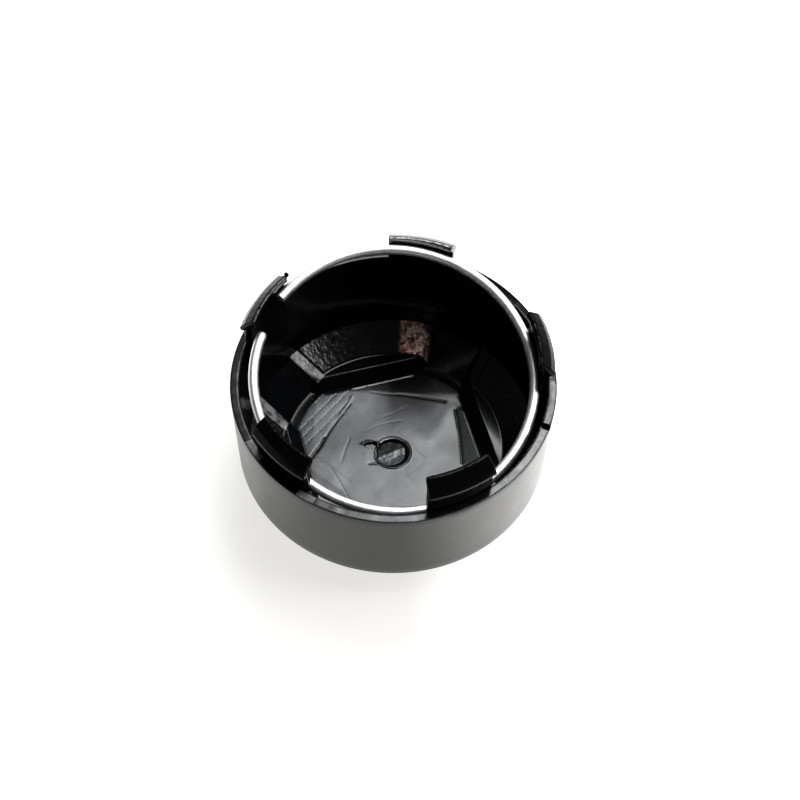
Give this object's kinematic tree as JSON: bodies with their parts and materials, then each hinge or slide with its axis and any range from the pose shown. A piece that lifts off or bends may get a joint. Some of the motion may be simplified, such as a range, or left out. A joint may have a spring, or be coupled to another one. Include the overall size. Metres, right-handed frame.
{
  "type": "wheel centre cap",
  "caption": "Black moulded wheel centre cap standing on its show face, open side up, with hooked snap clips and a split wire spring ring.",
  "frame": {"origin": "centre of the show face, on the surface that it rests on", "axes": "+Z along the cap's axis, from the show face to the clips"},
  "size_m": [0.064, 0.064, 0.0394],
  "materials": {
    "black_plastic": "gloss inside, satin outside",
    "spring_wire": "bright drawn wire"
  },
  "bodies": {
    "root": {"cap_body": "black_plastic", "spring_ring": "spring_wire"}
  },
  "joints": []
}
